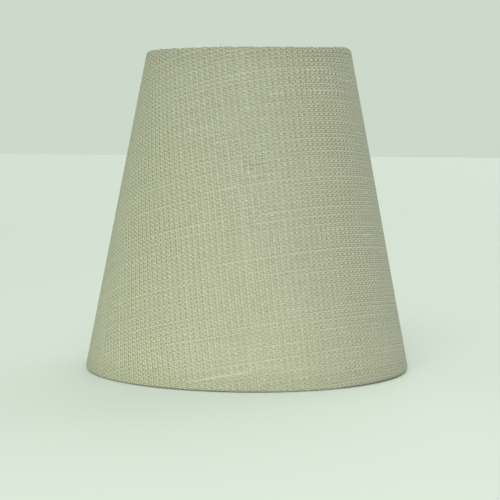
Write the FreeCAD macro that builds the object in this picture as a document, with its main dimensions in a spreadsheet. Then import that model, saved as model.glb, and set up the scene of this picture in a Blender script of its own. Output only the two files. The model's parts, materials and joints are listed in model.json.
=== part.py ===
import FreeCAD, Part
import math
import os
import re
import Sketcher

# Tapered hard-back lamp shade with a reversible tilting gimbal.
# Millimetres, +Z up, front towards -Y. The origin is the centre of the circle on which the
# bottom rim stands. The cloth wall is a cone; both rims are rolls of cloth round a wire ring.

# ---------------------------------------------------------------- driving dimensions
DIMENSIONS = {
    "shade_height": 195.0,
    "bottom_radius": 100.0,
    "wall_angle": 10.9,          # wall from the vertical, degrees
    "fabric_thick": 0.6,
    "liner_thick": 0.35,
    "tape_thick": 0.15,
    "wire_radius": 1.25,
    "land_half": 0.6,            # half the width of the flat on which the bottom roll stands
    "roll_end": 200.0,           # where the turned-over cloth ends, degrees round the wire
    "lap_angle": 6.0,            # width of the back seam's lap, degrees round the axis
    "lap_join": 1.5,             # part of the lap that is folded into the wall
    "lap_gap": 0.12,             # space for the seam tape
    "seam_azimuth": 142.0,       # free edge of the lap, degrees from +X
    "weld_drop": 2.2,            # arm wire's centre below the ring wire's
    "arm_spread": 20.0,          # half the angle between an arm's two legs, at the ring
    "arm_short": 0.4,            # the arm wire stops this far inside the ring's centre line
    "arm_bend": 4.0,             # centre-line radius of the bend at the arm's inner end
    "arm_reach": 29.2,           # axis to the centre line of that bend's tip
    "lug_inner": 27.9,           # axis to the lug's inner face
    "lug_thick": 1.2,
    "lug_width": 9.0,
    "pivot_drop": 6.0,           # pivot below the arm wire's centre
    "pin_radius": 1.6,
    "pin_clearance": 0.05,
    "head_radius": 2.8,
    "head_thick": 1.0,
    "head_bevel": 0.4,
    "washer_inner": 27.15,       # axis to the washer's inner face
    "washer_thick": 0.6,
    "washer_radius": 3.6,
    "leg_inner": 26.0,           # axis to the yoke leg's inner face
    "leg_thick": 1.0,
    "leg_width": 8.0,
    "leg_bend": 1.6,             # outer radius of the leg's bend into its foot
    "yoke_drop": 27.0,           # pivot to the utility ring's lower face
    "foot_inner": 21.8,
    "ring_bore": 21.0,
    "ring_outer": 25.6,
    "ring_thick": 1.0,
    "ring_flange": 3.5,          # height of the utility ring's turned-up rim
    "ring_fillet": 0.6,
    "reducer_bore": 14.5,
    "reducer_flange": 23.8,
    "reducer_thick": 1.6,
    "spigot_radius": 20.9,
    "spigot_depth": 2.4,
    "tab_reach": 0.7,
    "tab_angle": 16.0,
}

doc = FreeCAD.newDocument("lamp_shade")
dims = doc.addObject("Spreadsheet::Sheet", "dims")
for row, (alias, value) in enumerate(DIMENSIONS.items(), start=1):
    dims.set(f"A{row}", alias)
    dims.set(f"B{row}", str(value))
    dims.setAlias(f"B{row}", alias)
doc.recompute()


def bound(expression):
    """The expression with the sheet's name before each of its aliases, as FreeCAD reads it."""
    def named(word):
        return f"dims.{word.group()}" if word.group() in DIMENSIONS else word.group()
    return re.sub("[a-z_]+", named, expression)


def size(expression):
    """The value of an expression in the sheet's words, such as 'ring_bore + ring_thick'."""
    return float(dims.evalExpression(bound(expression)))


# ---------------------------------------------------------------- helpers
def origin_plane(body, role):
    for feature in body.Origin.OriginFeatures:
        if feature.Role == role:
            return feature
    raise ValueError(role)


def new_body(label):
    body = doc.addObject("PartDesign::Body", label)
    body.Label = label
    return body


def new_sketch(body, name, role, offset=None):
    """A sketch on one of the body's origin planes, raised along the plane's normal by offset."""
    sketch = body.newObject("Sketcher::SketchObject", name)
    sketch.AttachmentSupport = [(origin_plane(body, role), "")]
    sketch.MapMode = "FlatFace"
    if offset:
        sketch.setExpression("AttachmentOffset.Base.z", bound(offset))
    return sketch


def fix(sketch, kind, geometry, point, expression):
    """One dimension of a sketch, measured from its origin and bound to the sheet."""
    value = size(expression)
    index = sketch.addConstraint(Sketcher.Constraint(kind, -1, 1, geometry, point, value))
    sketch.setExpression(f"Constraints[{index}]", bound(expression))


def fix_radius(sketch, geometry, expression):
    index = sketch.addConstraint(Sketcher.Constraint("Radius", geometry, size(expression)))
    sketch.setExpression(f"Constraints[{index}]", bound(expression))


def fix_point(sketch, geometry, point, place):
    fix(sketch, "DistanceX", geometry, point, place[0])
    fix(sketch, "DistanceY", geometry, point, place[1])


def add_arc(sketch, start, end, centre, turn):
    """An arc from start to end about centre; turn is 1 anticlockwise, -1 clockwise."""
    first, last = (start, end) if turn > 0 else (end, start)
    first_angle = math.atan2(first[1] - centre[1], first[0] - centre[0])
    last_angle = math.atan2(last[1] - centre[1], last[0] - centre[0])
    radius = math.dist(centre, first)
    circle = Part.Circle(FreeCAD.Vector(*centre, 0), FreeCAD.Vector(0, 0, 1), radius)
    geometry = sketch.addGeometry(Part.ArcOfCircle(circle, first_angle, last_angle))
    return geometry, (1 if turn > 0 else 2)


def outline(sketch, corners, arcs=None, closed=True):
    """Lines and arcs through the corners, each a pair of expressions.

    arcs maps the number of an edge to its centre, as two expressions, and its turn. Every
    corner is bound to the sheet, and so is the centre, along the axis nearer to square on
    to the arc's chord: the ends settle the rest.
    """
    arcs = arcs or {}
    places = [(size(x), size(y)) for x, y in corners]
    count = len(corners) if closed else len(corners) - 1
    edges = []
    for number in range(count):
        start = places[number]
        end = places[(number + 1) % len(places)]
        if number in arcs:
            centre, turn = arcs[number]
            middle = (size(centre[0]), size(centre[1]))
            edges.append(add_arc(sketch, start, end, middle, turn))
        else:
            line = Part.LineSegment(FreeCAD.Vector(*start, 0), FreeCAD.Vector(*end, 0))
            edges.append((sketch.addGeometry(line), 1))
    for number in range(count - (0 if closed else 1)):
        geometry, first = edges[number]
        follower, follower_first = edges[(number + 1) % count]
        joint = Sketcher.Constraint("Coincident", geometry, 3 - first, follower, follower_first)
        sketch.addConstraint(joint)
    for number in range(count):
        geometry, first = edges[number]
        fix_point(sketch, geometry, first, corners[number])
        if number in arcs:
            centre = arcs[number][0]
            start = places[number]
            end = places[(number + 1) % len(places)]
            if abs(end[0] - start[0]) > abs(end[1] - start[1]):
                fix(sketch, "DistanceY", geometry, 3, centre[1])
            else:
                fix(sketch, "DistanceX", geometry, 3, centre[0])
    if not closed:
        geometry, first = edges[-1]
        fix_point(sketch, geometry, 3 - first, corners[-1])


def add_circle(sketch, centre, radius):
    circle = Part.Circle(FreeCAD.Vector(size(centre[0]), size(centre[1]), 0),
                         FreeCAD.Vector(0, 0, 1), size(radius))
    geometry = sketch.addGeometry(circle)
    fix_point(sketch, geometry, 3, centre)
    fix_radius(sketch, geometry, radius)


def revolve(body, sketch, angle="360", axis="V_Axis"):
    """A solid of revolution about one of the sketch's own lines."""
    turned = body.newObject("PartDesign::Revolution", sketch.Name + "_turned")
    turned.Profile = sketch
    turned.ReferenceAxis = (sketch, [axis])
    turned.setExpression("Angle", bound(angle))
    return turned


def pad(body, sketch, length, both_ways=False):
    padded = body.newObject("PartDesign::Pad", sketch.Name + "_pad")
    padded.Profile = sketch
    padded.Midplane = both_ways
    padded.setExpression("Length", bound(length))
    return padded


def cut(body, kind, sketch, settings):
    """A pocket or a groove, with its settings; it must take something away."""
    doc.recompute()
    before = body.Shape.Volume
    feature = body.newObject("PartDesign::" + kind, sketch.Name + "_cut")
    feature.Profile = sketch
    settings(feature)
    doc.recompute()
    if body.Shape.Volume >= before:
        raise RuntimeError(feature.Name + " cuts nothing")
    return feature


def cut_towards_x(body, sketch):
    """Cut a sketch in the YZ plane through everything on the +X side of it."""
    def settings(pocket):
        pocket.Reversed = True
        pocket.setExpression("Length", bound("bottom_radius"))
    cut(body, "Pocket", sketch, settings)


def drill(body, name, radius, height):
    """A hole along X through the body, at the given height."""
    sketch = new_sketch(body, name, "YZ_Plane")
    add_circle(sketch, ("0", height), radius)
    cut_towards_x(body, sketch)


# ---------------------------------------------------------------- the wall's construction lines
# Each rim is a roll about its wire. ROLL is the roll's outer radius; the wall's faces are lines
# parallel to the one that joins the two wire centres, at the offsets named below.
LINER_IN = "(wire_radius + tape_thick)"
LINER_OUT = "(wire_radius + tape_thick + liner_thick)"
ROLL = "(wire_radius + tape_thick + liner_thick + fabric_thick)"
TAPE_OUT = f"({ROLL} + lap_gap)"
LAP_OUT = f"({ROLL} + lap_gap + 2 * fabric_thick + liner_thick)"
TAPE_ANGLE = "lap_angle - lap_join"

LOW_Z = f"sqrt({ROLL}^2 - land_half^2)"
HIGH_Z = f"(shade_height - {ROLL})"
LOW_R = f"(bottom_radius - {ROLL})"
HIGH_R = f"({LOW_R} - ({HIGH_Z} - {LOW_Z}) * tan(wall_angle))"
LOW_WIRE = (LOW_R, LOW_Z)
HIGH_WIRE = (HIGH_R, HIGH_Z)


def beside(wire, offset, angle="wall_angle"):
    """A point at the given offset and angle from a wire's centre, 0 degrees being outwards."""
    return (f"{wire[0]} + {offset} * cos({angle})", f"{wire[1]} + {offset} * sin({angle})")


def wall_strip(sketch, inner, outer):
    """A four-sided strip of the wall, from the bottom wire's level to the top wire's."""
    outline(sketch, [
        beside(LOW_WIRE, inner),
        beside(LOW_WIRE, outer),
        beside(HIGH_WIRE, outer),
        beside(HIGH_WIRE, inner),
    ])


# ---------------------------------------------------------------- soft wall
def linen_cover():
    """The cloth: a cone with a roll round each wire, and the lap of its back seam."""
    body = new_body("linen_cover")
    wall = new_sketch(body, "cover_wall", "XZ_Plane")
    corners = [
        beside(LOW_WIRE, ROLL),
        beside(HIGH_WIRE, ROLL),
        beside(HIGH_WIRE, ROLL, "roll_end"),
        beside(HIGH_WIRE, LINER_OUT, "roll_end"),
        beside(HIGH_WIRE, LINER_OUT),
        beside(LOW_WIRE, LINER_OUT),
        beside(LOW_WIRE, LINER_OUT, "-roll_end"),
        beside(LOW_WIRE, ROLL, "-roll_end"),
        (f"{LOW_R} - land_half", "0"),
        (f"{LOW_R} + land_half", "0"),
    ]
    arcs = {
        1: (HIGH_WIRE, 1),
        3: (HIGH_WIRE, -1),
        5: (LOW_WIRE, -1),
        7: (LOW_WIRE, 1),
        9: (LOW_WIRE, 1),
    }
    outline(wall, corners, arcs)
    revolve(body, wall)
    lap = new_sketch(body, "cover_lap", "XZ_Plane")
    wall_strip(lap, f"({ROLL} - 0.5 * fabric_thick)", LAP_OUT)
    revolve(body, lap, "lap_angle")
    slot = new_sketch(body, "cover_tape_slot", "XZ_Plane")
    wall_strip(slot, ROLL, TAPE_OUT)

    def settings(groove):
        groove.ReferenceAxis = (slot, ["V_Axis"])
        groove.setExpression("Angle", bound(TAPE_ANGLE))
    cut(body, "Groove", slot, settings)
    turn_to_seam(body)
    return body


def turn_to_seam(body):
    body.setExpression("Placement.Rotation.Angle", bound("seam_azimuth"))


def shade_liner():
    body = new_body("shade_liner")
    sketch = new_sketch(body, "liner_wall", "XZ_Plane")
    wall_strip(sketch, LINER_IN, LINER_OUT)
    revolve(body, sketch)
    return body


def seam_tape():
    body = new_body("seam_tape")
    sketch = new_sketch(body, "seam_tape_strip", "XZ_Plane")
    wall_strip(sketch, ROLL, TAPE_OUT)
    revolve(body, sketch, TAPE_ANGLE)
    turn_to_seam(body)
    return body


# ---------------------------------------------------------------- rings
def wire_ring(label, wire):
    """A ring of round wire; its butt weld is ground flush."""
    ring = doc.addObject("Part::Torus", label)
    ring.Label = label
    ring.setExpression("Radius1", bound(wire[0]))
    ring.setExpression("Radius2", bound("wire_radius"))
    ring.setExpression("Placement.Base.z", bound(wire[1]))
    return ring


def ring_tape(label, wire):
    """Tape round the outer half of a ring's wire, between the wire and the liner."""
    body = new_body(label)
    sketch = new_sketch(body, label + "_section", "XZ_Plane")
    lower, upper = "(wall_angle - 90)", "(wall_angle + 90)"
    corners = [
        beside(wire, LINER_IN, lower),
        beside(wire, LINER_IN, upper),
        beside(wire, "wire_radius", upper),
        beside(wire, "wire_radius", lower),
    ]
    arcs = {0: (wire, 1), 2: (wire, -1)}
    outline(sketch, corners, arcs)
    revolve(body, sketch)
    return body


# ---------------------------------------------------------------- fitter: fixed side
ARM_Z = f"({HIGH_Z} - weld_drop)"
PIVOT_Z = f"({ARM_Z} - pivot_drop)"
HOLE = "(pin_radius + pin_clearance)"


def mirrored_to_left(body, side):
    """The left piece is the right one turned half round the shade's axis."""
    if side == "left":
        body.Placement = FreeCAD.Placement(FreeCAD.Vector(), FreeCAD.Rotation(180, 0, 0))


def arm(side):
    """A V of wire under the top ring, with a pierced lug under its inner end."""
    body = new_body(f"arm_{side}")
    end_r = f"({HIGH_R} - arm_short)"
    end = (f"{end_r} * cos(arm_spread)", f"{end_r} * sin(arm_spread)")
    bend_centre = ("(arm_reach + arm_bend)", "0")
    # The leg leaves the bend at the point where a line from its ring end touches the bend.
    span_x = f"({end[0]} - {bend_centre[0]})"
    span = f"sqrt({span_x}^2 + ({end[1]})^2)"
    contact = f"(atan(({end[1]}) / {span_x}) + acos(arm_bend / {span}))"
    near = (f"{bend_centre[0]} + arm_bend * cos({contact})", f"arm_bend * sin({contact})")
    path = new_sketch(body, f"arm_{side}_path", "XY_Plane", ARM_Z)
    corners = [
        end,
        near,
        (near[0], f"-({near[1]})"),
        (end[0], f"-({end[1]})"),
    ]
    outline(path, corners, {1: (bend_centre, 1)}, closed=False)
    section = new_sketch(body, f"arm_{side}_section", "XZ_Plane")
    add_circle(section, ("arm_reach", ARM_Z), "wire_radius")
    pipe = body.newObject("PartDesign::AdditivePipe", f"arm_{side}_wire")
    pipe.Profile = section
    pipe.Spine = (path, ["Edge1", "Edge2", "Edge3"])
    doc.recompute()
    lug = new_sketch(body, f"arm_{side}_lug", "YZ_Plane", "lug_inner")
    half = "0.5 * lug_width"
    corners = [
        (half, PIVOT_Z),
        (half, ARM_Z),
        (f"-{half}", ARM_Z),
        (f"-{half}", PIVOT_Z),
    ]
    outline(lug, corners, {3: (("0", PIVOT_Z), 1)})
    pad(body, lug, "lug_thick")
    drill(body, f"arm_{side}_hole", HOLE, PIVOT_Z)
    mirrored_to_left(body, side)
    return body


def pivot_rivet(side):
    """A rivet along X, with a head outside the lug and another inside the leg."""
    body = new_body(f"pivot_rivet_{side}")
    inner_face = "(leg_inner - pin_clearance)"
    outer_face = "(lug_inner + lug_thick)"
    inner_end = f"({inner_face} - head_thick)"
    outer_end = f"({outer_face} + head_thick)"
    # Half the section, above the pivot line; its first edge is that line.
    shank = f"({PIVOT_Z} + pin_radius)"
    rim = f"({PIVOT_Z} + head_radius)"
    section = new_sketch(body, f"rivet_{side}_section", "XZ_Plane")
    outline(section, [
        (inner_end, PIVOT_Z),
        (outer_end, PIVOT_Z),
        (outer_end, f"{rim} - head_bevel"),
        (f"{outer_end} - head_bevel", rim),
        (outer_face, rim),
        (outer_face, shank),
        (inner_face, shank),
        (inner_face, rim),
        (f"{inner_end} + head_bevel", rim),
        (inner_end, f"{rim} - head_bevel"),
    ])
    revolve(body, section, axis="Edge1")
    mirrored_to_left(body, side)
    return body


def friction_washer(side):
    """A flat washer on the rivet between the arm's lug and the yoke leg."""
    body = new_body(f"friction_washer_{side}")
    sketch = new_sketch(body, f"washer_{side}_face", "YZ_Plane", "washer_inner")
    add_circle(sketch, ("0", PIVOT_Z), "washer_radius")
    add_circle(sketch, ("0", PIVOT_Z), HOLE)
    pad(body, sketch, "washer_thick")
    mirrored_to_left(body, side)
    return body


# ---------------------------------------------------------------- fitter: tilting side
RING_Z = f"({PIVOT_Z} - yoke_drop)"


def yoke_leg(side):
    """A strap from the pivot down to a foot under the utility ring."""
    body = new_body(f"yoke_leg_{side}")
    outer = "(leg_inner + leg_thick)"
    foot_low = f"({RING_Z} - leg_thick)"
    bend_centre = (f"({outer} - leg_bend)", f"({foot_low} + leg_bend)")
    top = f"({PIVOT_Z} + 0.5 * leg_width)"
    side_view = new_sketch(body, f"leg_{side}_profile", "XZ_Plane")
    corners = [
        ("foot_inner", foot_low),
        (bend_centre[0], foot_low),
        (outer, bend_centre[1]),
        (outer, top),
        ("leg_inner", top),
        ("leg_inner", bend_centre[1]),
        (bend_centre[0], RING_Z),
        ("foot_inner", RING_Z),
    ]
    arcs = {1: (bend_centre, 1), 5: (bend_centre, -1)}
    outline(side_view, corners, arcs)
    pad(body, side_view, "leg_width", both_ways=True)
    # What lies outside the leg's round top is cut away.
    half = "0.5 * leg_width"
    clear = f"({top} + 1)"
    rounding = new_sketch(body, f"leg_{side}_rounding", "YZ_Plane")
    corners = [
        (half, PIVOT_Z),
        (f"{half} + 1", PIVOT_Z),
        (f"{half} + 1", clear),
        (f"-{half} - 1", clear),
        (f"-{half} - 1", PIVOT_Z),
        (f"-{half}", PIVOT_Z),
    ]
    outline(rounding, corners, {5: (("0", PIVOT_Z), -1)})
    cut_towards_x(body, rounding)
    drill(body, f"leg_{side}_hole", HOLE, PIVOT_Z)
    mirrored_to_left(body, side)
    return body


def utility_ring():
    """A pressed ring with a turned-up rim; the yoke's feet are welded under it."""
    body = new_body("utility_ring")
    sketch = new_sketch(body, "utility_ring_section", "XZ_Plane")
    outer_fillet = "(ring_fillet + ring_thick)"
    centre = (f"(ring_outer - {outer_fillet})", f"({RING_Z} + {outer_fillet})")
    corners = [
        ("ring_bore", RING_Z),
        (centre[0], RING_Z),
        ("ring_outer", centre[1]),
        ("ring_outer", f"{RING_Z} + ring_flange"),
        ("ring_outer - ring_thick", f"{RING_Z} + ring_flange"),
        ("ring_outer - ring_thick", centre[1]),
        (centre[0], f"{RING_Z} + ring_thick"),
        ("ring_bore", f"{RING_Z} + ring_thick"),
    ]
    arcs = {1: (centre, 1), 5: (centre, -1)}
    outline(sketch, corners, arcs)
    revolve(body, sketch)
    return body


def reducer_ring():
    """The plastic insert: a flange on the utility ring, a spigot through it and three snap tabs."""
    body = new_body("reducer_ring")
    floor = f"({RING_Z} + ring_thick)"
    low = f"({floor} - spigot_depth)"
    sketch = new_sketch(body, "reducer_section", "XZ_Plane")
    outline(sketch, [
        ("reducer_bore", low),
        ("spigot_radius", low),
        ("spigot_radius", floor),
        ("reducer_flange", floor),
        ("reducer_flange", f"{floor} + reducer_thick"),
        ("reducer_bore", f"{floor} + reducer_thick"),
    ])
    revolve(body, sketch)
    tab = new_sketch(body, "reducer_tab", "XZ_Plane")
    outline(tab, [
        ("spigot_radius - tab_reach", low),
        ("spigot_radius", low),
        ("spigot_radius + tab_reach", RING_Z),
        ("spigot_radius - tab_reach", RING_Z),
    ])
    turned = revolve(body, tab, "tab_angle")
    turned.Midplane = True
    doc.recompute()
    pattern = body.newObject("PartDesign::PolarPattern", "reducer_tabs")
    pattern.Originals = [turned]
    pattern.Axis = (sketch, ["V_Axis"])
    pattern.Angle = 360
    pattern.Occurrences = 3
    body.Tip = pattern
    # The tabs stand a quarter turn from the yoke's feet.
    body.Placement = FreeCAD.Placement(FreeCAD.Vector(), FreeCAD.Rotation(90, 0, 0))
    return body


# ---------------------------------------------------------------- assembly
SIDES = ("left", "right")
pieces = [
    linen_cover(),
    shade_liner(),
    seam_tape(),
    wire_ring("top_wire_ring", HIGH_WIRE),
    wire_ring("bottom_wire_ring", LOW_WIRE),
    ring_tape("top_ring_tape", HIGH_WIRE),
    ring_tape("bottom_ring_tape", LOW_WIRE),
]
for maker in (arm, pivot_rivet, friction_washer, yoke_leg):
    for side in SIDES:
        pieces.append(maker(side))
pieces += [utility_ring(), reducer_ring()]
doc.recompute()

for thing in doc.Objects:
    if "Invalid" in thing.State or "Error" in thing.State:
        raise RuntimeError(f"{thing.Name} failed: {thing.State}")
for piece in pieces:
    if piece.Shape.isNull() or not piece.Shape.isValid():
        raise RuntimeError(f"{piece.Label} has no valid shape")

os.makedirs("parts", exist_ok=True)
for piece in pieces:
    piece.Shape.exportStep(f"parts/{piece.Label}.step")
    box = piece.Shape.BoundBox
    print(f"{piece.Label:24s} solids {len(piece.Shape.Solids)}  volume {piece.Shape.Volume:10.2f}"
          f"  z {box.ZMin:8.3f} .. {box.ZMax:8.3f}  x {box.XMin:8.3f} .. {box.XMax:8.3f}")
print("pivot height", round(size(PIVOT_Z), 4))
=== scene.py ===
import json
import math

import bpy
import numpy as np
from mathutils import Matrix, Vector


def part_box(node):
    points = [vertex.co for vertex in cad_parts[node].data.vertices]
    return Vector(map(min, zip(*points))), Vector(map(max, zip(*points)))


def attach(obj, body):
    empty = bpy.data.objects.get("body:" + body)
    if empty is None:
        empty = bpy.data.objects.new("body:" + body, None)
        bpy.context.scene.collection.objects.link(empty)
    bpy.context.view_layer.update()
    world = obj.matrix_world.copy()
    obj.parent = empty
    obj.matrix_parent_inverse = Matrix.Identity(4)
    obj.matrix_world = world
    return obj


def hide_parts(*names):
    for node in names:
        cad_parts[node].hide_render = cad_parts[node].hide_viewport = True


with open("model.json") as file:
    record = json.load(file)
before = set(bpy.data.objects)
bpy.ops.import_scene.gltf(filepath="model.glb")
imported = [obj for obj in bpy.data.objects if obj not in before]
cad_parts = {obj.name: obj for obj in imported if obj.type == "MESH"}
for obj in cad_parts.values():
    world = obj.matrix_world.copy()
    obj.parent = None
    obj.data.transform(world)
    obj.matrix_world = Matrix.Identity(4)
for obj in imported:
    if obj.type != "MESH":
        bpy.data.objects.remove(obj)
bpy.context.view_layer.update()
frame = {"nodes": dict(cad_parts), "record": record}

# A tapered hard-back lamp shade. The cloth, liner and their seam are built here on the cone that
# the frame's two wire rings set; the rings and the fitter are the frame's own pieces. Metres.

MM = 0.001
TURN = 2 * math.pi
SEED = 11


# ---------------------------------------------------------------- the cone, from the frame
class Ring:
    """A wire ring's centre-line radius, height and wire radius, from its box."""

    def __init__(self, node):
        low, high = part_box(node)
        self.wire = (high[2] - low[2]) / 2
        self.radius = high[0] - self.wire
        self.level = (high[2] + low[2]) / 2


LOW = Ring("bottom_wire_ring")
HIGH = Ring("top_wire_ring")
COVER_LOW, COVER_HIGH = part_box("linen_cover")
TILT = math.atan2(LOW.radius - HIGH.radius, HIGH.level - LOW.level)
WALL = math.hypot(LOW.radius - HIGH.radius, HIGH.level - LOW.level)
ROLL = COVER_HIGH[0] - LOW.radius

CLOTH = 0.6 * MM
LINER = 0.35 * MM
LINER_FACE = ROLL - CLOTH - LINER      # the liner's inner face, from the wires' centre line
HEM_FACE = LINER_FACE - CLOTH          # the turned-in cloth's face, glued on the liner

# Angles go round from +X, anticlockwise from above. The panel's outer end is a folded edge at
# the back left. From there the cloth runs once round and ends under its own first stretch.
SEAM = math.radians(142.0)
LAP = math.radians(6.0)
LAP_RISE = 1.45 * MM
LAP_EASE = math.radians(1.6)
PANEL_START = SEAM - TURN
PANEL_END = SEAM + LAP

# The cloth's weft runs level round the cone at one place, nearly opposite the seam, and turns
# away from level on both sides as the flat panel curls round. Its warp leans a little.
LEVEL_FROM_SEAM = math.radians(184.5)
GRAIN = SEAM - LEVEL_FROM_SEAM
WARP_LEAN = math.radians(2.6)
WARP_SKEW = math.tan(WARP_LEAN)


def smooth(value):
    """Rises from 0 to 1 with its value, level at both ends."""
    value = np.clip(value, 0.0, 1.0)
    return value * value * (3 - 2 * value)


def on_cone(offset, along, angle):
    """A point at an offset out from the wires' line and a distance up it, at an angle."""
    radius = LOW.radius + offset * math.cos(TILT) - along * math.sin(TILT)
    level = LOW.level + offset * math.sin(TILT) + along * math.cos(TILT)
    return np.stack([radius * np.cos(angle), radius * np.sin(angle), level], axis=-1)


def angle_at(bearing):
    """The angle of a bearing in degrees from the front."""
    return math.radians(bearing - 90)


def lap_lift(angles):
    """How far the panel stands off the cone where it lies over its own other end."""
    return LAP_RISE * (1 - smooth((angles - PANEL_START - LAP) / LAP_EASE))


# ---------------------------------------------------------------- mesh helpers
def grid_faces(rows, columns, first=0):
    """Quads of a grid whose points are numbered along its rows."""
    row, column = np.meshgrid(np.arange(rows - 1), np.arange(columns - 1), indexing="ij")
    corner = first + row * columns + column
    quads = np.stack([corner, corner + 1, corner + columns + 1, corner + columns], axis=-1)
    return quads.reshape(-1, 4)


def new_mesh(name, points, faces, body, material):
    mesh = bpy.data.meshes.new(name)
    mesh.from_pydata([tuple(p) for p in points], [], [tuple(int(i) for i in f) for f in faces])
    mesh.polygons.foreach_set("use_smooth", [True] * len(mesh.polygons))
    mesh.update()
    piece = bpy.data.objects.new(name, mesh)
    bpy.context.collection.objects.link(piece)
    mesh.materials.append(material)
    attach(piece, body)
    return piece


def add_attribute(piece, name, kind, values):
    data = piece.data.attributes.new(name, kind, "POINT").data
    data.foreach_set("vector" if kind == "FLOAT_VECTOR" else "value", np.ravel(values))


# ---------------------------------------------------------------- material helpers
NOISE_RANGE = (0.3, 0.7)      # most of a noise's values lie between these


class Nodes:
    """A short way to write a material's nodes. Most calls return an output socket."""

    def __init__(self, name):
        self.material = bpy.data.materials.new(name)
        self.material.use_nodes = True
        self.tree = self.material.node_tree
        self.shader = self.tree.nodes["Principled BSDF"]

    def feed(self, socket, value):
        if isinstance(value, bpy.types.NodeSocket):
            self.tree.links.new(value, socket)
        elif value is not None:
            socket.default_value = value

    def add(self, kind, **settings):
        node = self.tree.nodes.new(kind)
        for key, value in settings.items():
            setattr(node, key, value)
        return node

    def math(self, operation, first, second=None, third=None, clamp=False):
        node = self.add("ShaderNodeMath", operation=operation, use_clamp=clamp)
        for socket, value in zip(node.inputs, (first, second, third)):
            self.feed(socket, value)
        return node.outputs[0]

    def plus(self, first, second):
        return self.math("ADD", first, second)

    def minus(self, first, second):
        return self.math("SUBTRACT", first, second)

    def times(self, first, second):
        return self.math("MULTIPLY", first, second)

    def larger(self, first, second):
        return self.math("MAXIMUM", first, second)

    def cosine(self, value):
        return self.math("COSINE", value)

    def linear(self, value, factor, base):
        """A value times a factor, plus a base."""
        return self.math("MULTIPLY_ADD", value, factor, base)

    def swayed(self, value, amount):
        """A value between 0 and 1, made to go an amount's half to either side of 0."""
        return self.times(self.minus(value, 0.5), amount)

    def vector(self, x=0.0, y=0.0, z=0.0):
        node = self.add("ShaderNodeCombineXYZ")
        for socket, value in zip(node.inputs, (x, y, z)):
            self.feed(socket, value)
        return node.outputs[0]

    def split(self, vector):
        node = self.add("ShaderNodeSeparateXYZ")
        self.feed(node.inputs[0], vector)
        return node.outputs

    def own_place(self):
        """The place on the piece itself, in metres."""
        return self.add("ShaderNodeTexCoord").outputs["Object"]

    def attribute(self, name, output="Fac"):
        return self.add("ShaderNodeAttribute", attribute_name=name).outputs[output]

    def noise(self, vector, scale=1.0, detail=2.0, rough=0.5):
        node = self.add("ShaderNodeTexNoise")
        self.feed(node.inputs["Vector"], vector)
        node.inputs["Scale"].default_value = scale
        node.inputs["Detail"].default_value = detail
        node.inputs["Roughness"].default_value = rough
        return node.outputs[0]

    def streaks(self, first, second, rates, salt, **settings):
        """Noise with its own rate of change along each of two values, set apart by a salt."""
        first = self.times(first, rates[0])
        second = self.times(second, rates[1])
        return self.noise(self.vector(first, second, salt), **settings)

    def random(self, value):
        node = self.add("ShaderNodeTexWhiteNoise", noise_dimensions="1D")
        self.feed(node.inputs["W"], value)
        return node.outputs["Value"]

    def random_cell(self, first, second):
        node = self.add("ShaderNodeTexWhiteNoise", noise_dimensions="2D")
        self.feed(node.inputs["Vector"], self.vector(first, second))
        return node.outputs["Value"]

    def remap(self, value, low, high, to_low=0.0, to_high=1.0):
        """Linear between the two limits and flat beyond them."""
        node = self.add("ShaderNodeMapRange")
        for socket, number in zip(node.inputs, (value, low, high, to_low, to_high)):
            self.feed(socket, number)
        return node.outputs[0]

    def mix(self, share, first, second):
        node = self.add("ShaderNodeMix", data_type="FLOAT")
        self.feed(node.inputs[0], share)
        self.feed(node.inputs[2], first)
        self.feed(node.inputs[3], second)
        return node.outputs[0]

    def tint(self, share, first, second):
        node = self.add("ShaderNodeMix", data_type="RGBA")
        self.feed(node.inputs[0], share)
        self.feed(node.inputs[6], first)
        self.feed(node.inputs[7], second)
        return node.outputs[2]

    def bump(self, height, distance, strength=1.0):
        node = self.add("ShaderNodeBump")
        node.inputs["Strength"].default_value = strength
        node.inputs["Distance"].default_value = distance
        self.feed(node.inputs["Height"], height)
        return node.outputs[0]

    def finish(self, colour, roughness, normal=None, **fixed):
        self.feed(self.shader.inputs["Base Color"], colour)
        self.feed(self.shader.inputs["Roughness"], roughness)
        self.feed(self.shader.inputs["Normal"], normal)
        for name, value in fixed.items():
            self.shader.inputs[name.replace("_", " ")].default_value = value
        return self.material


# ---------------------------------------------------------------- the weave
# Places on the flat panel are in millimetres: across it, from one upright warp thread to the
# next, and down it, from one weft thread to the next. Rates are how fast a noise changes both
# ways, or from thread to thread and along each.
WARP_PITCH = 1.76
WEFT_PITCH = 1.245
UNEVEN_WARP = 0.5
UNEVEN_WEFT = 0.9
UNEVEN_WARP_RATES = (0.34, 0.02)
UNEVEN_WEFT_RATES = (0.02, 0.45)

# Thread widths as shares of their pitch, from thin to thick stretches.
WARP_WIDTHS = (0.90, 1.02)
WEFT_WIDTHS = (0.78, 0.90)
SLUB_WIDENS = 0.25
SECOND_WIDENS = 0.06
THICKNESS_RATES = (5.37, 1 / 5)
SLUB_RATES = (7.91, 1 / 22)
SLUB_LEVELS = (0.70, 0.82)
WARP_FIBRE_RATES = (6.0, 0.9)
WEFT_FIBRE_RATES = (0.9, 7.0)

# Heights in the weave: a thread's round section on top of its swing over and under the others.
WARP_SWING, WARP_ROUND = 0.08, 0.14
WEFT_SWING, WEFT_ROUND, WEFT_RISE = 0.14, 0.15, 0.05
DEEPEST = -0.20
FIBRE_RELIEF = 0.05
RELIEF_STRENGTH = 1.25

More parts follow.
